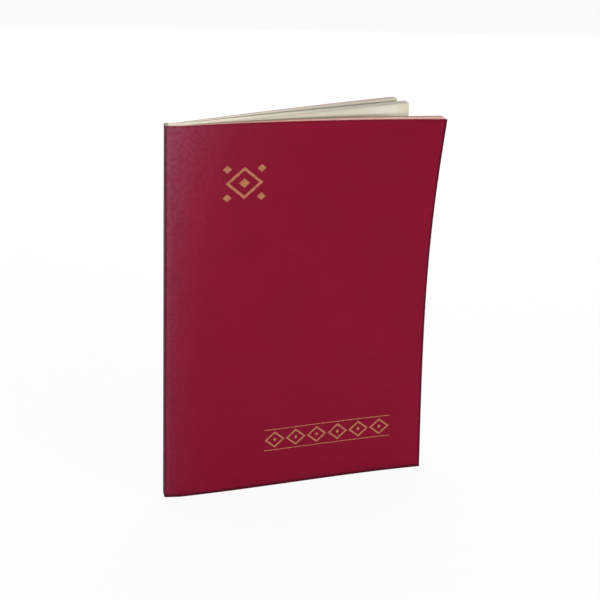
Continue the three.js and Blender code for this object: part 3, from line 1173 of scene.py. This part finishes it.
def addLining():
    inset = liningMesh["inset"]
    low, high = ((np.array(corner) - bookCorner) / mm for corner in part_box("spine_lining"))
    across = np.linspace(low[1] + inset, high[1] - inset, liningMesh["columns"])
    turns = (across + bookCorner[1] / mm) * (math.tau * mm / liningLook["threadPitch"])
    plan = np.stack([(low[0] + high[0]) / 2 - liningMesh["ripple"] * np.sin(turns), across], -1)
    heights = np.linspace(low[2] + inset, high[2] - inset, liningMesh["rows"])
    line = repeated(plan, len(heights))
    marks = sheetMarks(line, across, heights, 0)
    piece = sheetPiece("mull_lining", liningCloth(), line, heights, liningMesh["thickness"], marks)
    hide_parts("spine_lining")
    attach(piece, "bound_block")


addLining()


# The sewing and the glue keep their own solids
keptNodes = {"spine_glue": spineGlue()}
threadFinish = linenThread()
for number in range(1, lastSection + 1):
    keptNodes[f"sewing_thread_{number}"] = threadFinish
for name, finish in keptNodes.items():
    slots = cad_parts[name].data.materials
    slots.clear()
    slots.append(finish)
print("lining, glue and threads made")


# Camera, fitted to the outline of the standing book
cameraPlace = {
    "target": (105, 0, 140),
    "yaw": 8.5,
    "pitch": 14.82,
    "roll": 0.937,
    "distance": 1830.5,
    "across": -5.39,
    "above": 9.05,
    "focalPixels": 2492,
    "framePixels": 600,
    "sensor": 36,
}
yaw, pitch, roll = (math.radians(cameraPlace[name]) for name in ("yaw", "pitch", "roll"))
forward = Vector((math.sin(yaw) * math.cos(pitch), math.cos(yaw) * math.cos(pitch), -math.sin(pitch)))
level = Vector((math.cos(yaw), -math.sin(yaw), 0))
upright = level.cross(forward)
right = math.cos(roll) * level + math.sin(roll) * upright
above = math.cos(roll) * upright - math.sin(roll) * level
cameraData = bpy.data.cameras.new("camera")
cameraData.sensor_width = cameraPlace["sensor"]
cameraData.lens = cameraPlace["sensor"] * cameraPlace["focalPixels"] / cameraPlace["framePixels"]
camera = addObject("camera", cameraData)
offset = right * cameraPlace["across"] + above * cameraPlace["above"] - forward * cameraPlace["distance"]
eye = Vector(rowPoint(*cameraPlace["target"])) + offset * mm
turn = Matrix((right, above, -forward)).transposed().to_4x4()
camera.matrix_world = Matrix.Translation(eye) @ turn
scene.camera = camera


# Floor, world and lamps

stageLook = {
    "floor": 9.0,
    "floorColour": (0.86, 0.86, 0.855, 1),
    "shown": 0.93,  # how much of the floor's plain white a camera or a reflection sees
    "fill": 0.38,
}


# 1 for the rays that see the pale surroundings themselves
def seenDirectly(finish):
    rays = finish.node("LightPath").socket.node.outputs
    seen = Wire(finish, rays["Is Camera Ray"])
    for name in ("Is Glossy Ray", "Is Transmission Ray"):
        seen = seen.maths("MAXIMUM", Wire(finish, rays[name]))
    return seen


def paleFloor():
    finish = Finish("pale_floor")
    mottle = finish.noise(finish.placeInRoom(), 3, 2)
    finish.surface(stageLook["floorColour"], 0.88 + mottle * 0.08)
    white = finish.node("Emission", None, {"Color": (1, 1, 1, 1), "Strength": 1.0})
    shown = seenDirectly(finish) * stageLook["shown"]
    lit = Wire(finish, finish.tree.nodes["Principled BSDF"].outputs[0])
    mixed = finish.node("MixShader", None, {0: shown, 1: lit, 2: white})
    finish.feed(finish.tree.nodes["Material Output"].inputs["Surface"], mixed)
    return finish.data


reach = stageLook["floor"]
floorMesh = bpy.data.meshes.new("floor")
floorMesh.from_pydata(
    [(-reach, -reach, 0), (reach, -reach, 0), (reach, reach, 0), (-reach, reach, 0)], [], [(0, 1, 2, 3)]
)
floorMesh.materials.append(paleFloor())
floor = addObject("floor", floorMesh)
floor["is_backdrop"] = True


surroundings = Finish("studio", bpy.data.worlds)
scene.world = surroundings.data
background = surroundings.tree.nodes["Background"]
background.inputs["Color"].default_value = (1, 1, 1, 1)
seen = seenDirectly(surroundings)
surroundings.feed(background.inputs["Strength"], seen * (1 - stageLook["fill"]) + stageLook["fill"])


# Place, size and power of each lamp; all look at the middle of the book
lamps = {
    "key": ((0.8, -1.95, 0.57), (1.4, 0.1), 30),
    "above": ((-0.1, 0.1, 1.9), (1.2, 1.2), 6),
    "behind": ((0.35, 2.1, 0.6), (1.3, 0.8), 30),
}
middle = Vector((0, 0, bookHeight * mm / 2))
for name, (place, size, power) in lamps.items():
    data = bpy.data.lights.new(name, "AREA")
    data.shape = "RECTANGLE"
    data.size, data.size_y = size
    data.energy = power
    lamp = addObject(name, data)
    lamp.location = place
    lamp.rotation_euler = (middle - Vector(place)).to_track_quat("-Z", "Y").to_euler()
print("stage made")

scene.view_settings.view_transform = "Standard"

low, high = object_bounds()
